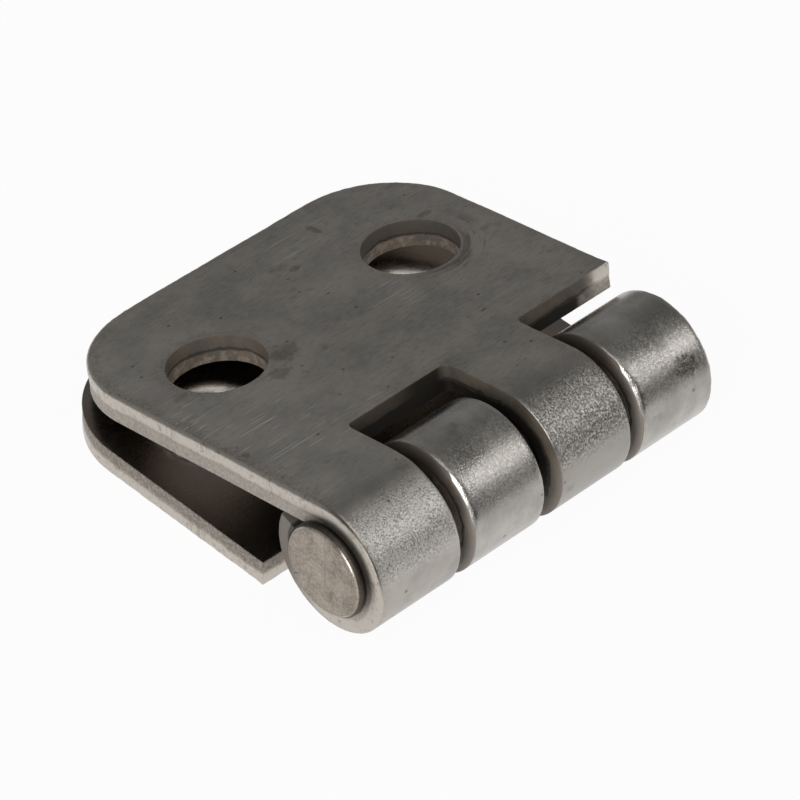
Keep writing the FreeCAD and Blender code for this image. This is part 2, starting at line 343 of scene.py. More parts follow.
def blank_corners(s, inset):
    """The flat blank's outline as (x, u, radius) corners, its sheared sides moved in by inset.

    u runs from the pin's axis to the outer edge, and below 0 along the sheet that gets rolled.
    """
    half = s.leaf_length / 2
    free = -curl_angle(s) * middle_radius(s)
    start = s.middle_gap / 2
    stop = start + s.inner_knuckle
    end = -(stop + s.side_gap)
    left, right = inset - half, half - inset
    notch, outer = s.notch_edge + inset, s.leaf_width - inset
    inner, round_corner = s.notch_corner + inset, s.corner_radius - inset
    return [
        (left, free, 0.0),
        (end - inset, free, 0.0),
        (end - inset, notch, inner),
        (start + inset, notch, inner),
        (start + inset, free, 0.0),
        (stop - inset, free, 0.0),
        (stop - inset, notch, inner),
        (right, notch, 0.0),
        (right, outer, round_corner),
        (left, outer, round_corner),
    ]


def trace(corners, counts):
    """Points along a square-cornered outline with rounded corners; counts has those of each bend and side."""
    points = []
    total = len(corners)
    for i, (x, u, radius) in enumerate(corners):
        here = np.array((x, u))
        before = np.array(corners[i - 1][:2])
        after = np.array(corners[(i + 1) % total][:2])
        inward = (here - before) / np.linalg.norm(here - before)
        onward = (after - here) / np.linalg.norm(after - here)
        begin, finish = here + radius * onward, after - corners[(i + 1) % total][2] * onward
        bends, runs = counts[i]
        middle = here - radius * inward + radius * onward
        for k in range(bends):
            turn = k / bends * math.pi / 2
            points.append(middle + radius * (math.sin(turn) * inward - math.cos(turn) * onward))
        for k in range(runs):
            points.append(begin + (finish - begin) * k / runs)
    return np.array(points)


def point_counts(corners, pitch):
    """How many points each bend and each side of an outline takes."""
    counts = []
    for i, (x, u, radius) in enumerate(corners):
        after = corners[(i + 1) % len(corners)]
        straight = math.dist((x, u), after[:2]) - radius - after[2]
        bends = max(8, math.ceil(radius * math.pi / 2 / pitch)) if radius else 0
        counts.append((bends, max(1, math.ceil(straight / pitch))))
    return counts


def circle(centre, radius, count):
    """Points round a screw hole, so that the sheet lies on the same side as for the outline."""
    turns = -np.arange(count) / count * 2 * math.pi
    return np.stack((centre[0] + radius * np.cos(turns), centre[1] + radius * np.sin(turns)), 1)


def soften(values, reach):
    """Averages each value of a loop with its neighbours."""
    shifted = [np.roll(values, k) for k in range(-reach, reach + 1)]
    return np.mean(shifted, 0)


def below(values, high, low):
    """Rises from 0 where a length is high to 1 where it is low, both in millimetres."""
    return np.clip((high * MM - values) / ((high - low) * MM), 0.0, 1.0)


def ironed(points):
    """How far the sheared edge at points (x, u) has been smoothed by curling the sheet."""
    return below(points[:, 1], 1.0, -2.0)


def blank_loops(s, sides, holes, pitch):
    """Each loop of the blank: its points, their move for each metre of inset, its roll, reach and dirt."""
    probe = 0.1 * MM
    corners = blank_corners(s, 0.0)
    counts = point_counts(corners, pitch)
    outline = trace(corners, counts)
    moves = (trace(blank_corners(s, probe), counts) - outline) / probe
    table = np.concatenate([np.tile(side, (sum(n), 1)) for side, n in zip(sides, counts)])
    flat, curled, worn, back, dirt_and_shade = table.T
    x, u = outline.T
    front = below(np.abs(u - WORN_AT * MM), 1.8, 1.0)
    roll = flat + (curled - flat) * ironed(outline) + worn * front
    # Less dirt at the far end of the pin, and more inside the curls.
    dirt_and_shade = dirt_and_shade * below(x, 14.0, 11.5) + below(u, -12.0, -16.0)
    outline = outline + moves * (soften(back, 3) * ironed(outline) * MM)[:, None]
    loops = [(outline, moves, soften(roll, 4) * MM, 1.0, soften(dirt_and_shade, 2))]
    count = math.ceil(2 * math.pi * s.hole_radius / pitch)
    for side, (roll, reach, dirt_and_shade) in zip((-1, 1), holes):
        centre = (side * s.hole_spacing / 2, s.hole_setback)
        rim = circle(centre, s.hole_radius, count)
        moves = (circle(centre, s.hole_radius + probe, count) - rim) / probe
        loops.append((rim, moves, np.full(count, roll * MM), reach, np.full(count, dirt_and_shade)))
    return loops


def inside(points, loops):
    """Which points lie on the sheet, by counting the outline edges to their right."""
    crossings = np.zeros(len(points), int)
    for loop in loops:
        a, b = loop, np.roll(loop, -1, 0)
        for start in range(0, len(points), 2000):
            p = points[start:start + 2000, None, :]
            straddles = (a[:, 1] > p[..., 1]) != (b[:, 1] > p[..., 1])
            rise = np.where(b[:, 1] == a[:, 1], 1.0, b[:, 1] - a[:, 1])
            cross = a[:, 0] + (p[..., 1] - a[:, 1]) / rise * (b[:, 0] - a[:, 0])
            crossings[start:start + 2000] += (straddles & (cross > p[..., 0])).sum(1)
    return crossings % 2 == 1


def wave(point, scale, seed):
    """Noise from -1 to 1 at a point, with its scale in waves per millimetre."""
    return noise.noise(Vector(point) * (scale / MM) + Vector((seed, seed * 0.7, seed * 1.3)))


def shear_rows(s, loop, roll, reach, seed, from_inside):
    """The sheared edge of one loop as rows of (inset, height above the inner face), with how far each is wall.

    The punch rolls the edge where it comes in, shears a smooth band and tears the rest, which leaves a burr.
    """
    burr, tear_inset, tear_at = 0.05 * MM, 0.035, 0.42
    radius = np.array([
        r * (1 + 0.25 * wave((*p, 0), 0.35, seed) + 0.18 * wave((*p, 0), 2.6, seed + 2))
        for r, p in zip(roll, loop)
    ])
    none, top = 0 * radius, s.sheet - radius
    tear = np.array([tear_at + 0.10 * wave((*p, 1), 0.6, seed) for p in loop]) * s.sheet
    relief = (1 - 0.8 * ironed(loop)) * MM
    rows = [(tear_inset * MM + none, none, 1.0), (none, burr + none, 1.0)]
    for share in (0.2, 0.4, 0.6, 0.8):
        level = tear * share
        rough = [
            0.03 * abs(wave((*p, h), 3.2, seed + 5)) + 0.016 * abs(wave((*p, h), 7.0, seed + 9))
            for p, h in zip(loop, level)
        ]
        rows.append(((np.array(rough) + 0.03 * share) * relief, level, 1.0))
    rows.append((tear_inset * relief, tear, 1.0))
    rows.append((0.012 * relief, tear + 0.12 * (top - tear), 1.0))
    rows.append((none, tear + 0.5 * (top - tear), 1.0))
    flat = 0.7 * ironed(loop)
    for turn in np.radians((0, 12, 25, 40, 55, 70, 80, 90)):
        straight = flat * turn / (math.pi / 2)
        inset = (1 - math.cos(turn)) * (1 - flat) + straight
        rise = math.sin(turn) * (1 - flat) + straight
        rows.append((radius * reach * inset, top + radius * rise, math.cos(turn)))
    if from_inside:
        rows = [(inset, s.sheet - height, wall) for inset, height, wall in reversed(rows)]
    return rows


def scattered(s, loops, curl_pitch, flat_pitch):
    """Points inside the blank, closer together along the part that gets rolled."""
    free = -curl_angle(s) * middle_radius(s)
    rows = np.concatenate((
        np.arange(free + curl_pitch, 0.0, curl_pitch),
        np.arange(0.0, s.leaf_width, flat_pitch),
    ))
    columns = np.arange(-s.leaf_length / 2, s.leaf_length / 2, flat_pitch)
    grid = np.array([(x + (i % 2) * flat_pitch / 2, u) for i, u in enumerate(rows) for x in columns])
    grid = grid[inside(grid, loops)]
    every = np.concatenate(loops)
    tree = kdtree.KDTree(len(every))
    for i, point in enumerate(every):
        tree.insert((*point, 0), i)
    tree.balance()
    gaps = np.array([tree.find((*point, 0))[2] for point in grid])
    keep = gaps > 0.7 * curl_pitch
    return grid[keep], gaps[keep]


def fill(loops, extra):
    """Triangles over the sheet between the loops, through the extra points, as indices into all of them."""
    points = np.concatenate(loops + [extra])
    edges, first = [], 0
    for loop in loops:
        count = len(loop)
        edges += [(first + i, first + (i + 1) % count) for i in range(count)]
        first += count
    places = [Vector(p / MM) for p in points]
    found, _, faces, origins, _, _ = delaunay_2d_cdt(places, edges, [], 0, 1e-6)
    if len(found) != len(points):
        raise RuntimeError("The blank's outline crosses itself")
    faces = np.array([[origins[i][0] for i in face] for face in faces])
    return faces[inside(points[faces].mean(1), loops)]


def roll_up(s, blank):
    """Bends flat points (x, u, w) round the pin: u is the way along the sheet, w the height in it."""
    x, u, w = blank.T
    turn = math.pi / 2 + np.maximum(-u, 0.0) / middle_radius(s)
    radius = s.bore_radius + w
    y = np.where(u >= 0, u, radius * np.cos(turn))
    z = np.where(u >= 0, radius, radius * np.sin(turn))
    return np.stack((x, y, z), 1)


def leaf_mesh(name, s, sides, holes, holes_from_inside, seed):
    """One stamped and rolled leaf, with the pin's axis as its X axis and its outer face on top."""
    ripple = 0.006 * MM
    loops = blank_loops(s, sides, holes, CURL_PITCH)
    flat, walls, dirt_and_shade_rows, gaps, cuts, faces, first = [], [], [], [], [], [], 0
    inner, outer = [], []
    for number, (points, moves, roll, reach, dirt_and_shade) in enumerate(loops):
        from_inside = number > 0 and holes_from_inside
        rows = shear_rows(s, points, roll, reach, seed, from_inside)
        count = len(points)
        for k, (inset, height, wall) in enumerate(rows):
            place = points + moves * inset[:, None]
            flat.append(np.column_stack((place, height)))
            walls.append(np.full(count, wall))
            dirt_and_shade_rows.append(dirt_and_shade)
            gaps.append(inset)
            cuts.append(s.sheet - height if from_inside else height)
            if k:
                a = first + (k - 1) * count + np.arange(count)
                b = first + (k - 1) * count + (np.arange(count) + 1) % count
                faces += np.stack((a, b, b + count, a + count), 1).tolist()
        inner.append((flat[-len(rows)][:, :2], first))
        outer.append((flat[-1][:, :2], first + (len(rows) - 1) * count))
        first += len(rows) * count
    wall_faces = len(faces)
    for side, level in ((inner, 0.0), (outer, s.sheet)):
        rims = [rim for rim, _ in side]
        extra, gap = scattered(s, rims, CURL_PITCH, FLAT_PITCH)
        triangles = fill(rims, extra)
        numbers = np.concatenate([start + np.arange(len(rim)) for rim, start in side])
        numbers = np.concatenate((numbers, first + np.arange(len(extra))))
        flat.append(np.column_stack((extra, np.full(len(extra), level))))
        walls.append(np.zeros(len(extra)))
        dirt_and_shade_rows.append(np.zeros(len(extra)))
        gaps.append(gap)
        cuts.append(np.full(len(extra), level))
        first += len(extra)
        turned = triangles if level else triangles[:, ::-1]
        faces += numbers[turned].tolist()
    blank = np.concatenate(flat)
    blank[:, 2] += [ripple * wave(p, 0.3, seed + 20) for p in blank]
    mesh = bpy.data.meshes.new(name)
    mesh.from_pydata(roll_up(s, blank).tolist(), [], faces)
    spread = mesh.attributes.new("blank", "FLOAT_VECTOR", "POINT")
    spread.data.foreach_set("vector", (blank / MM).astype(np.float32).ravel())
    corner = np.empty(len(mesh.loops), np.int32)
    mesh.loops.foreach_get("vertex_index", corner)
    wall = np.concatenate(walls)[corner]
    wall[4 * wall_faces:] = 0.0
    mesh.attributes.new("wall", "FLOAT", "CORNER").data.foreach_set("value", wall.astype(np.float32))
    for key, values, unit in (("dirt_and_shade", dirt_and_shade_rows, 1.0), ("edge", gaps, MM), ("cut", cuts, MM)):
        values = (np.concatenate(values) / unit).astype(np.float32)
        mesh.attributes.new(key, "FLOAT", "POINT").data.foreach_set("value", values)
    mesh.shade_smooth()
    mesh.set_sharp_from_angle(angle=math.radians(38))
    return mesh


def add_piece(name, mesh, body, node, material):
    """Links a piece, lets it ride on its body and stand for its CAD node."""
    piece = bpy.data.objects.new(name, mesh)
    bpy.context.scene.collection.objects.link(piece)
    mesh.materials.append(material)
    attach(piece, body)
    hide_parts(node)
    return piece


def spots(g, x, u, marks, blur):
    """Soft dark marks at chosen places on the outer face, with edges that blur makes uneven."""
    total = 0.0
    for at_x, at_u, size, stretch in marks:
        across, along = (x - at_x) * (1.0 / size), (u - at_u) * (1.0 / (size * stretch))
        total = g.step(across * across + along * along + blur, 2.0, 0.4) + total
    return g.maths("MINIMUM", total, 1.0)


def scratches(g, place, x, u, seed):
    """Fresh scratches along the pin, most of them on the near half between the knuckles and the holes."""
    patch = g.step(g.noise(place, (0.15, 0.20, 0.2), 2.0, 0.5, seed + 8), 0.45, 0.65) * 0.35
    patch = g.step(x + u * 0.25, -2.0, -9.0) * g.step(u, 17.0, 13.0) * g.step(u, 2.0, 6.0) * 0.65 + patch
    short = g.step(g.noise(place, (0.32, 6.5, 1.0), 2.0, 0.45, seed + 9), 0.64, 0.70)
    long = g.step(g.noise(place, (0.20, 7.0, 1.0), 1.0, 0.4, seed + 11), 0.70, 0.75)
    return (short + long) * patch


def screw_rings(g, x, u, hole, seed):
    """The rings that a screw head rubbed beside a hole, and where they show."""
    over, out = x - hole[0], u - hole[1]
    reach = (over * over + out * out) ** 0.5
    rings = g.noise(g.joined(reach * 2.6, x * 0.25, u * 0.25), seed=seed)
    return rings, g.step(over * 0.6 - out, 1.2, 4.0) * g.step(reach, 3.3, 3.6) * g.step(reach, 5.4, 4.4)


def leaf_steel(name, look, shades, roughness, hole, highlight_at, grain, around, torn_share, marks, rubbed, seed):
    """Bare stamped sheet: brushed and smudged skin, grainy bends, sheared edges, soil and soot with painted shade
    between the knuckles, and painted highlights on the knuckles.

    The mesh gives each point's place in the flat blank, how far it is sheared wall rather than skin, its
    dirt_and_shade level, its distance from the rim and its height in the cut. hole is the middle of the far screw
    hole, highlight_at where along the sheet the knuckles' highlight band lies, which gets painted highlight and
    painted sparkle, and grain how coarse the grain is. around is how far the fine lines of the bends run round the
    pin instead of along it, and torn_share how dark the torn band of a sheared edge is. rubbed is 1 for the
    swinging leaf, whose outer face is marked by use and by a screw head, and 0 for the fixed one; it also switches
    on painted highlight and shade on the swinging leaf's knuckles.
    """
    material = bpy.data.materials.new(name)
    g = Graph(material)
    place = g.attribute("blank", "Vector")
    wall, dirt_and_shade, edge, cut = [g.attribute(key, "Fac") for key in ("wall", "dirt_and_shade", "edge", "cut")]
    x, u, w = g.parts(place)
    light, dark = shades

    # Places on the leaf, in millimetres along the pin (x), along the sheet (u) and through it (w). The leaves face
    # opposite ways, so what rises along the curl of one falls on the other.
    bend = g.step(u, 0.8, -2.2)
    flat = 1.0 - bend
    # Where the knuckles' highlight band lies; it gets a painted highlight and painted sparkle.
    highlight_band = g.band(u, highlight_at, 2.6, 1.1)
    front = g.band(u, highlight_at + 0.8, 1.7, 1.1)
    rise = (u - highlight_at) * (2.0 * rubbed - 1.0)
    seam_reach = g.step(u, -6.2, -4.0)
    inner = g.step(w, 1.3, 0.7)
    near_end = g.step(x, -8.0, -13.0)
    near_side = g.step(x + u * 0.3, 2.0, -12.0)
    end_knuckle = g.step(x, -5.0, -8.5)
    # Where the swinging leaf's inner knuckle is darkened as painted shade.
    inner_knuckle = g.step(x, -3.0, 0.5)
    past_notch = g.step(x, -4.5, -2.0)
    by_far_hole = g.step(x, 2.0, 5.0) * g.step(u, 8.0, 11.0)

    # Noises from coarse to fine, then lines along the pin, which may turn round it at the bends.
    mottle = g.noise(place, (0.30, 0.38, 0.3), 5.0, 0.62, seed)
    ragged = g.noise(place, (1.5, 1.5, 1.5), 4.0, 0.7, seed + 19)
    grit = g.noise(place, (5.5, 5.5, 5.5), 4.0, 0.68, seed + 17)
    sparkle = g.noise(place, (9.5, 9.5, 9.5), 2.0, 0.6, seed + 27)
    uneven, gritty = ragged - 0.5, grit - 0.5
    brush = g.noise(place, (0.20, 10.0, 1.0), 4.0, 0.68, seed + 3)
    ground = g.noise(place, (9.0, 0.7, 1.0), 4.0, 0.66, seed + 4)
    lines = g.lerp(bend * around, brush, ground)
    fine = g.noise(place, (0.6, 24.0, 1.0), 2.0, 0.5, seed + 5)
    hatch = g.noise(place, (1.5, 9.0, 1.0), 3.0, 0.62, seed + 6)

    # Marks of use, and brown stain that creeps in from the rims.
    scratch = scratches(g, place, x, u, seed) * flat
    smudge = g.step(g.noise(place, (0.42, 0.55, 0.4), 4.0, 0.58, seed + 7), 0.58, 0.76)
    pit = g.step(g.cells(place, (0.55, 0.75, 0.5)), 0.10, 0.04) * (1.0 - inner)
    mark = spots(g, x, u, marks, uneven * 6.0 + gritty * 2.0)
    mark = mark * g.lerp(bend, 1.0, g.step(sparkle, 0.66, 0.40) * 0.6 + 0.4)
    stain = g.step(edge + uneven * 1.8, 0.85, 0.05) * g.step(grit, 0.42, 0.60)
    stain = stain * (near_end * 0.6 + 0.3) * (1.0 - bend * 0.7)
    rings, beside = screw_rings(g, x, u, hole, seed)
    beside = beside * rubbed
    speck = sparkle * 0.6 + grit * 0.4
    # Grain in the knuckles' highlight band: its dark flecks are grain and its white flecks are painted sparkle.
    grain_and_sparkle = highlight_band * grain * (g.step(ragged, 0.38, 0.58) * 9.0 + 13.0)

    skin = g.lay(
        g.mix(g.step(mottle, 0.3, 0.7), dark, light),
        (g.step(lines, 0.53, 0.76) * 0.42, light),
        (g.step(lines, 0.47, 0.26) * (0.33 - bend * 0.18), look.grime_and_shade),
        (g.step(hatch, 0.52, 0.72) * 0.5 * flat, light),
        (g.step(hatch, 0.48, 0.28) * 0.35 * flat, look.grime_and_shade),
        # painted highlight: the swinging leaf's end knuckle is lightened along its highlight band
        (highlight_band * end_knuckle * rubbed * 0.68, look.scratch),
        (near_side * flat * rubbed * 0.14, look.scratch),
        # painted shade: darkens the swinging leaf's inner knuckle
        (inner_knuckle * bend * rubbed * 0.6, dark),
        (g.step(speck, 0.51, 0.41) * grain_and_sparkle * 0.6, look.grime_and_shade),
        # painted sparkle: white flecks in the highlight band
        (g.step(speck, 0.49, 0.58) * grain_and_sparkle, look.scratch),
        (scratch, look.scratch),
        (smudge * 0.35 + pit * 0.6, look.grime_and_shade),
        (g.step(rings, 0.50, 0.62) * beside * 0.6, light),
        (g.step(rings, 0.50, 0.38) * beside * 0.5, look.grime_and_shade),
        (mark * (0.35 + bend * 0.5), look.grime_and_shade),
        (stain * 0.8, look.rust),
        (inner * 0.85, look.inner_skin),
    )
    skin_height = (lines - 0.5) * 0.007 + (fine - 0.5) * 0.003 + scratch * -0.004
    skin_height = skin_height + (sparkle - 0.5) * (highlight_band * grain)
    skin_rough = g.lerp(bend, *roughness) + (mottle - 0.5) * 0.16 + smudge * 0.1 + mark * 0.15

    # The sheared edge: torn low in the cut and smooth above the line of the tear, scored by the punch, with a
    # painted shadow of the pin's head on the end faces beside the curls.
    depth = g.noise(place, (0.9, 0.9, 0.9), 3.0, 0.6, seed + 13) * 0.5 + uneven * 0.35 + cut
    torn = g.step(depth, 1.38, 0.98)
    tear = g.band(depth, 1.20, 0.18, 0.04)
    drag = g.noise(place, (6.5, 6.5, 0.6), 3.0, 0.65, seed + 15)
    dragged = g.step(drag, 0.48, 0.32) * g.step(mottle, 0.46, 0.60) * g.step(u, 1.0, 4.0)
    painted_head_shadow = g.step(w, 1.7, 0.8) * g.step(u, 3.0, -1.0) * g.step(u, -9.0, -4.0)
    speckle = torn * (0.8 + 1.8 * torn_share) + 0.6
    shear = g.lay(
        g.mix(torn * torn_share + gritty * speckle, look.shear_light, look.shear_dark),
        (dragged * 0.5 + tear * 0.3, look.rust),
        (g.step(ragged + gritty * 0.5, 0.53, 0.68) * (1.0 - torn) * 0.55, look.rust),
        # painted shadow of the pin's head on the end face
        (painted_head_shadow * 0.8, look.grime_and_shade),
    )

    # The soil over it: brown soil with crumbs of rust where the cut is torn, and black soot with painted shade in
    # the notches and between the knuckles, a painted shadow on the walls above the knuckles' highlight band and
    # painted light on them further round the curl.
    clean = g.step(dirt_and_shade + uneven * 0.3, 0.95, 0.05)
    # painted shade: black in the notches
    corner = g.step(dirt_and_shade, 1.5, 2.0) * (past_notch * 0.4 + 0.6)
    # painted shadow: darkens the walls above the highlight band on the curls, where the neighbouring knuckle
    # shades them
    above = g.step(rise, 0.2, 2.0) * bend * 0.6
    soot_and_shade = g.maths("MAXIMUM", above, tear * 0.8)
    soot_and_shade = g.maths("MAXIMUM", g.step(dirt_and_shade, 1.0, 1.4) * torn + corner, soot_and_shade)
    crumbs = g.lay(
        look.soil,
        (g.step(mottle + uneven * 0.5, 0.40, 0.52) * 0.6 + 0.4, look.rust),
        (g.step(ragged + gritty * 0.4, 0.44, 0.66) * 0.5, look.shear_light),
    )
    soiled_and_shaded = g.lay(
        look.soil,
        (g.step(mottle + uneven * 0.6, 0.42, 0.58) * 0.45, look.rust),
        (by_far_hole * 0.5, look.grime_and_shade),
        (torn, crumbs),
        # painted light: the walls further round the curl than the highlight band are lightened, where light
        # reaches into the gaps
        (g.step(rise, -0.6, -2.6) * bend * (0.4 - rubbed * 0.15), look.shear_light),
        # soot and painted shade
        (soot_and_shade, look.soot_and_shade),
    )
    shear_height = (drag - 0.5) * 0.016 + gritty * (torn * clean * 0.045 + 0.004)
    shear_rough = g.lerp(g.maths("MAXIMUM", torn, 1.0 - clean), look.smooth_edge, look.torn_edge)
    shear_rough = shear_rough + gritty * 0.2

    # Where the skin ends: a worn and polished rim at the front of the dirty knuckles, lightened further as a
    # painted highlight where its glint falls, and on clean ones a dark seam of painted shade that hides their
    # rim's glint.
    bare = g.step(dirt_and_shade, 0.3, 0.8) * front * 0.55
    sheared = g.step(wall + uneven * (0.7 - bare), bare + 0.12, bare + 0.42)
    # painted shade: a dark line along the rim of the clean end faces that hides its glint
    seam_shade = g.band(wall, 0.5, 0.48, 0.30) * bend * clean * seam_reach * rubbed
    # worn rim, with a painted highlight where its glint falls
    polish_and_glint = g.step(wall, 0.10, 0.30) * bare * (1.0 - sheared) * (1.8 - rubbed)
    surface = g.lay(
        skin,
        (polish_and_glint * 0.7, look.scratch),
        (sheared, g.mix(clean, soiled_and_shaded, shear)),
        (seam_shade * 0.9, look.grime_and_shade),
    )
    skin_rough = skin_rough - polish_and_glint * 0.12 + seam_shade * 0.25
    g.finish(
        surface,
        g.lerp(sheared, skin_rough, shear_rough),
        g.lerp(sheared, skin_height, shear_height),
        1.0 - sheared * (1.0 - clean) * 0.9,
    )
    return material


def pin_steel(look, face, rim):
    """Bare pin: dull hammered heads with scratches and small cracks, a smoother rim lightened on its upper half as
    a painted highlight, and sides darkened as painted shade.
    """
    material = bpy.data.materials.new("pin_steel")
    g = Graph(material)
    place = g.attribute("turned", "Vector")
    x, y, z = g.parts(place)
    radius = (y * y + z * z) ** 0.5
    spoke = g.vector("DIVIDE", place, g.joined(radius, radius, radius))
    slanted = g.vector("ADD", place, g.vector("MULTIPLY", place, (0.0, 0.8, -0.8)))
    side = g.step(g.maths("ABSOLUTE", x), face - 0.07, face - 0.16)
    brim = g.step(radius, rim - 0.32, rim - 0.20) * (1.0 - side)

    blotch = g.noise(place, (0.4, 0.8, 0.8), 5.0, 0.6, 2.0)
    flecks = g.noise(place, (1.0, 4.2, 5.6), 4.0, 0.74, 4.0)
    score = g.noise(place, (1.0, 1.3, 9.0), 3.0, 0.6, 6.0)
    cross = g.noise(slanted, (1.0, 7.0, 1.1), 3.0, 0.6, 9.0)
    crack = g.step(g.noise(spoke, (0.0, 5.5, 5.5), 3.0, 0.7, 3.0), 0.64, 0.70)
    crack = crack * g.step(radius, rim - 1.3, rim - 0.3)

    base = g.lay(
        g.mix(g.step(blotch * 0.5 + flecks * 0.5, 0.32, 0.66), look.pin_dark, look.pin_light),
        (g.step(score, 0.60, 0.74) * 0.4, look.scratch),
        (g.step(cross, 0.42, 0.28) * 0.45 + crack * 0.7, look.grime_and_shade),
        # painted highlight: the upper half of the rim is lightened where its glint falls
        (brim * g.step(z, -0.3, 1.0) * 0.4, look.scratch),
        # painted shade: the heads' sides are darkened as if under a mushroomed rim
        (side * 0.9, look.grime_and_shade),
    )
    height = (flecks - 0.5) * 0.022 + (score - 0.5) * 0.014 + (cross - 0.5) * 0.012 - crack * 0.03
    g.finish(base, 0.44 + (blotch - 0.5) * 0.3 - brim * 0.30, height * (1.0 - brim * 0.7))
    return material


def pin_half(s):
    """Half the pin's length between its heads."""
    return (s.leaf_length - s.end_play + s.head_clearance) / 2


def pin_mesh(name, s):
    """The pin, turned about the X axis, with hammered heads."""
    chamfer, out_of_round, dent, waves = 0.05 * MM, 0.012, 0.03 * MM, 0.45
    half = pin_half(s)
    face = half + s.head_height
    side = face - s.head_rim
    profile = [(0.0, s.shank_radius), (half - 0.2 * MM, s.shank_radius), (half, s.shank_radius)]
    profile += [(half, s.head_radius - chamfer), (half + chamfer, s.head_radius)]
    profile += [(half + (side - half) * 0.5, s.head_radius)]
    for turn in np.radians((0, 15, 30, 45, 60, 75, 88)):
        straight = 0.7 * turn / (math.pi / 2)
        out, back = straight + 0.3 * math.sin(turn), straight + 0.3 * (1 - math.cos(turn))
        profile.append((side + s.head_rim * out, s.head_radius - s.head_rim * back))
    flat = s.head_radius - s.head_rim
    profile += [(face, flat * share) for share in (0.92, 0.82, 0.7, 0.57, 0.44, 0.31, 0.18, 0.07)]
    profile = [(-x, r) for x, r in reversed(profile)] + profile[1:]
    count = 96
    turns = np.arange(count) / count * 2 * math.pi
    points = []
    for x, r in profile:
        ring = np.stack((np.full(count, x), r * np.cos(turns), r * np.sin(turns)), 1)
        points.append(ring)
    points = np.concatenate(points)
    radii = np.hypot(points[:, 1], points[:, 2])
    for i in np.nonzero(radii > s.shank_radius + 0.2 * MM)[0]:
        p = points[i]
        spoke = 3 * MM * p / radii[i]
        end = math.copysign(5 * MM, p[0])
        p[1:] *= 1 - out_of_round - out_of_round * wave((end, spoke[1], spoke[2]), waves, 31)
    for i in np.nonzero(np.abs(points[:, 0]) > side)[0]:
        p = points[i]
        p[0] -= math.copysign(dent * (0.5 + 0.5 * wave(p, waves, 37)), p[0])
    faces = []
    for k in range(len(profile) - 1):
        a = k * count + np.arange(count)
        b = k * count + (np.arange(count) + 1) % count
        faces += np.stack((a, b, b + count, a + count), 1).tolist()
    ends = np.array([points[:count].mean(0), points[-count:].mean(0)])
    last = len(points)
    faces += [[last, (i + 1) % count, i] for i in range(count)]
    faces += [[last + 1, last - count + i, last - count + (i + 1) % count] for i in range(count)]
    points = np.concatenate((points, ends))
    mesh = bpy.data.meshes.new(name)
    mesh.from_pydata(points.tolist(), [], faces)
    turned = mesh.attributes.new("turned", "FLOAT_VECTOR", "POINT")
    turned.data.foreach_set("vector", (points / MM).astype(np.float32).ravel())
    mesh.shade_smooth()
    mesh.set_sharp_from_angle(angle=math.radians(50))
    return mesh


def stand_on_pin(mesh, s, across, turn):
    """Moves a mesh from the pin's axis to where that axis is, a knuckle's radius above the floor."""
    where = Vector((across, -s.hole_setback, s.bore_radius + s.sheet))
    mesh.transform(Matrix.Translation(where) @ turn)
    mesh.update()


def far_hole(s):
    """The middle (x, u) of the screw hole at +x, in millimetres."""
    return s.hole_spacing / 2 / MM, s.hole_setback / MM


class HINGE_OT_lower_leaf(bpy.types.Operator):
    """Build the leaf that lies on the floor"""

    bl_idname = "hinge.lower_leaf"
    bl_label = "Lower Leaf"

    def execute(self, context):
        s, look = context.scene.hinge_sizes, context.scene.hinge_steel
        mesh = leaf_mesh("lower_leaf_rolled", s, LOWER_SIDES, LOWER_HOLES, holes_from_inside=True, seed=3.0)
        stand_on_pin(mesh, s, 0.0, Matrix.Rotation(math.pi, 4, "Y"))
        steel = leaf_steel(
            "lower_leaf_steel",
            look,
            shades=(look.fixed_light, look.fixed_dark),
            roughness=(look.fixed_roughness, look.fixed_roughness),
            hole=far_hole(s),
            highlight_at=-8.8,
            grain=0.020,
            around=0.9,
            torn_share=0.8,
            marks=LOWER_MARKS,
            rubbed=0.0,
            seed=31.0,
        )
        add_piece("lower_leaf_rolled", mesh, "fixed_side", "lower_leaf", steel)
        return {"FINISHED"}


class HINGE_OT_upper_leaf(bpy.types.Operator):
    """Build the leaf that swings"""

    bl_idname = "hinge.upper_leaf"
    bl_label = "Upper Leaf"

    def execute(self, context):
        s, look = context.scene.hinge_sizes, context.scene.hinge_steel
        mesh = leaf_mesh("upper_leaf_rolled", s, UPPER_SIDES, UPPER_HOLES, holes_from_inside=False, seed=8.0)
        stand_on_pin(mesh, s, s.end_play, Matrix.Rotation(-s.closed_angle, 4, "X"))
        steel = leaf_steel(
            "upper_leaf_steel",
            look,
            shades=(look.skin_light, look.skin_dark),
            roughness=(look.skin_roughness, look.bend_roughness),
            hole=far_hole(s),
            highlight_at=-3.2,
            grain=0.042,
            around=0.0,
            torn_share=0.25,
            marks=UPPER_MARKS,
            rubbed=1.0,
            seed=7.0,
        )
        add_piece("upper_leaf_rolled", mesh, "swing_side", "upper_leaf", steel)
        return {"FINISHED"}


class HINGE_OT_pin(bpy.types.Operator):
    """Build the riveted pin"""

    bl_idname = "hinge.pin"
    bl_label = "Pin"

    def execute(self, context):
        s = context.scene.hinge_sizes
        mesh = pin_mesh("riveted_pin", s)
        stand_on_pin(mesh, s, (s.end_play - s.head_clearance) / 2, Matrix.Identity(4))
        face = pin_half(s) + s.head_height
        steel = pin_steel(context.scene.hinge_steel, face / MM, s.head_radius / MM)
        add_piece("riveted_pin", mesh, "fixed_side", "hinge_pin", steel)
        return {"FINISHED"}


def direction(azimuth, elevation):
    """The unit vector that points away from the object towards a place in the studio, in degrees."""
    a, e = math.radians(azimuth), math.radians(elevation)
    return Vector((math.cos(e) * math.cos(a), math.cos(e) * math.sin(a), math.sin(e)))


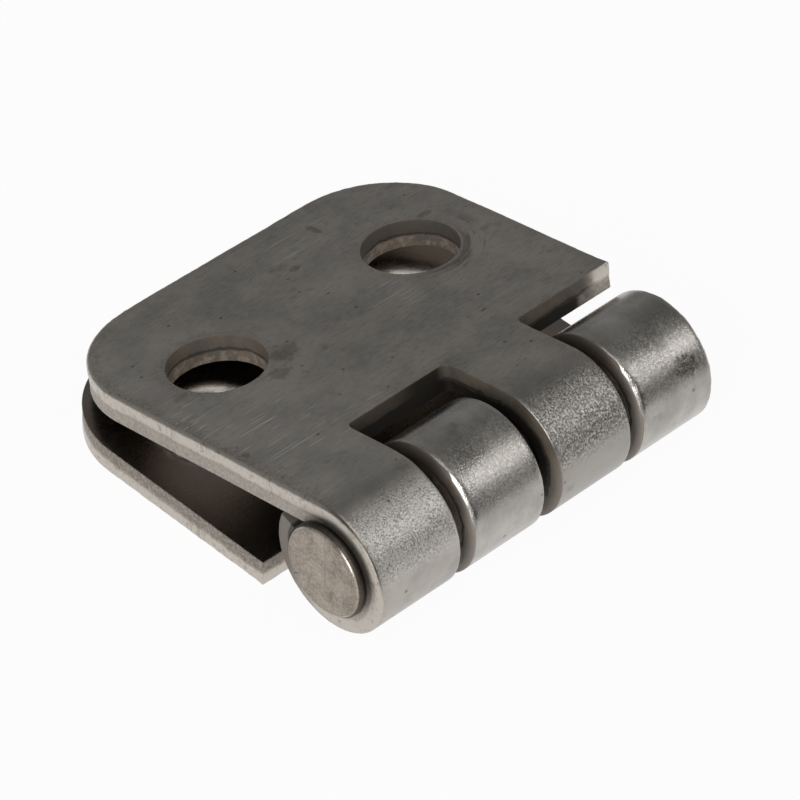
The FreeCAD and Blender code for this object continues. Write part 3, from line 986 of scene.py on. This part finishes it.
def soft_box(name, azimuth, elevation, distance, width, height, level):
    """A rectangular lamp that faces the object; level is its brightness, where 1 is white."""
    lamp = bpy.data.lights.new(name, "AREA")
    lamp.shape = "RECTANGLE"
    lamp.size, lamp.size_y = width, height
    lamp.energy = level * math.pi * width * height
    holder = bpy.data.objects.new(name, lamp)
    towards = direction(azimuth, elevation)
    holder.location = VIEW_MIDDLE + towards * distance
    holder.rotation_euler = towards.to_track_quat("Z", "Y").to_euler()
    bpy.context.scene.collection.objects.link(holder)


def aim_camera(scene, studio):
    """Puts the camera at the photo's angle, facing the middle of the view."""
    a, e = studio.view_azimuth, studio.view_elevation
    ahead = Vector((-math.sin(a) * math.cos(e), math.cos(a) * math.cos(e), -math.sin(e)))
    right = Vector((math.cos(a), math.sin(a), 0.0))
    up = right.cross(ahead)
    turn = Matrix((right, up, -ahead)).transposed().to_4x4()
    camera = bpy.data.objects.new("camera", bpy.data.cameras.new("camera"))
    camera.data.lens = studio.lens
    camera.data.sensor_width = 36.0
    camera.data.clip_start = 0.01
    place = Matrix.Translation(VIEW_MIDDLE - ahead * studio.view_distance)
    camera.matrix_world = place @ turn @ Matrix.Rotation(studio.view_roll, 4, "Z")
    scene.collection.objects.link(camera)
    scene.camera = camera


def pale_floor(scene, studio):
    """A floor that is plain white to the camera, and in the steel's reflections near the hinge."""
    reach, drop = 3.0, -0.02 * MM
    leaf_middle, near_edge, far_edge = -5.6 * MM, 27 * MM, 55 * MM
    corners = [(-reach, -reach, drop), (reach, -reach, drop), (reach, reach, drop), (-reach, reach, drop)]
    mesh = bpy.data.meshes.new("floor")
    mesh.from_pydata(corners, [], [(0, 1, 2, 3)])
    floor = bpy.data.objects.new("floor", mesh)
    scene.collection.objects.link(floor)
    paint = bpy.data.materials.new("pale_floor")
    g = Graph(paint)
    sockets = {"Base Color": (*studio.floor, 1.0), "Roughness": 0.9, "Specular IOR Level": 0.0}
    shaded = g.out(g.node("ShaderNodeBsdfPrincipled", None, sockets))
    white = g.out(g.node("ShaderNodeEmission", None, {"Color": (1, 1, 1, 1), "Strength": 1.0}))
    x, y, _ = g.parts(g.out(g.node("ShaderNodeNewGeometry"), "Position"))
    away = g.maths("MAXIMUM", g.maths("ABSOLUTE", x), g.maths("ABSOLUTE", y - leaf_middle))
    near = g.step(away, far_edge, near_edge)
    path = g.node("ShaderNodeLightPath")
    mirrored = (g.out(path, "Is Glossy Ray") + g.out(path, "Is Transmission Ray")) * near
    seen = g.out(path, "Is Camera Ray") + mirrored
    share = g.maths("MULTIPLY", seen, studio.floor_white, clamp=True)
    shader = g.node("ShaderNodeMixShader", None, {0: share, 1: shaded, 2: white})
    g.node("ShaderNodeOutputMaterial", None, {"Surface": g.out(shader)})
    mesh.materials.append(paint)


def plain_room(scene, studio):
    """A grey room, palest at half height, for the steel to mirror."""
    world = bpy.data.worlds.new("room")
    scene.world = world
    g = Graph(world)
    _, _, height = g.parts(g.out(g.node("ShaderNodeTexCoord"), "Generated"))
    room = g.mix(g.step(height, 0.3, 0.9), studio.walls, studio.ceiling)
    room = g.mix(g.step(height, 0.0, 0.28), studio.horizon, room)
    shader = g.node("ShaderNodeBackground", None, {"Color": room, "Strength": 1.0})
    g.node("ShaderNodeOutputWorld", None, {"Surface": g.out(shader)})


class HINGE_OT_studio(bpy.types.Operator):
    """Set up the camera, the floor, the room and the lamps"""

    bl_idname = "hinge.studio"
    bl_label = "Studio"

    def execute(self, context):
        scene = context.scene
        scene.view_settings.view_transform = "Standard"
        aim_camera(scene, scene.hinge_studio)
        pale_floor(scene, scene.hinge_studio)
        plain_room(scene, scene.hinge_studio)
        for lamp in LAMPS:
            soft_box(*lamp)
        return {"FINISHED"}


class HINGE_PT_panel(bpy.types.Panel):
    """The hinge's pieces and its studio"""

    bl_idname = "HINGE_PT_panel"
    bl_label = "Butt Hinge"
    bl_space_type = "VIEW_3D"
    bl_region_type = "UI"
    bl_category = "Hinge"

    def draw(self, context):
        for name in ("lower_leaf", "upper_leaf", "pin", "studio"):
            self.layout.operator(f"hinge.{name}")
        for group in (context.scene.hinge_sizes, context.scene.hinge_steel, context.scene.hinge_studio):
            for key in group.__annotations__:
                self.layout.prop(group, key)


CLASSES = (
    HingeSizes,
    SteelLook,
    StudioLook,
    HINGE_OT_lower_leaf,
    HINGE_OT_upper_leaf,
    HINGE_OT_pin,
    HINGE_OT_studio,
    HINGE_PT_panel,
)


def register():
    for kind in CLASSES:
        bpy.utils.register_class(kind)
    bpy.types.Scene.hinge_sizes = bpy.props.PointerProperty(type=HingeSizes)
    bpy.types.Scene.hinge_steel = bpy.props.PointerProperty(type=SteelLook)
    bpy.types.Scene.hinge_studio = bpy.props.PointerProperty(type=StudioLook)


def unregister():
    for name in ("hinge_sizes", "hinge_steel", "hinge_studio"):
        delattr(bpy.types.Scene, name)
    for kind in reversed(CLASSES):
        bpy.utils.unregister_class(kind)


def main():
    register()
    bpy.ops.hinge.lower_leaf()
    bpy.ops.hinge.upper_leaf()
    bpy.ops.hinge.pin()
    bpy.ops.hinge.studio()


if __name__ == "__main__":
    main()
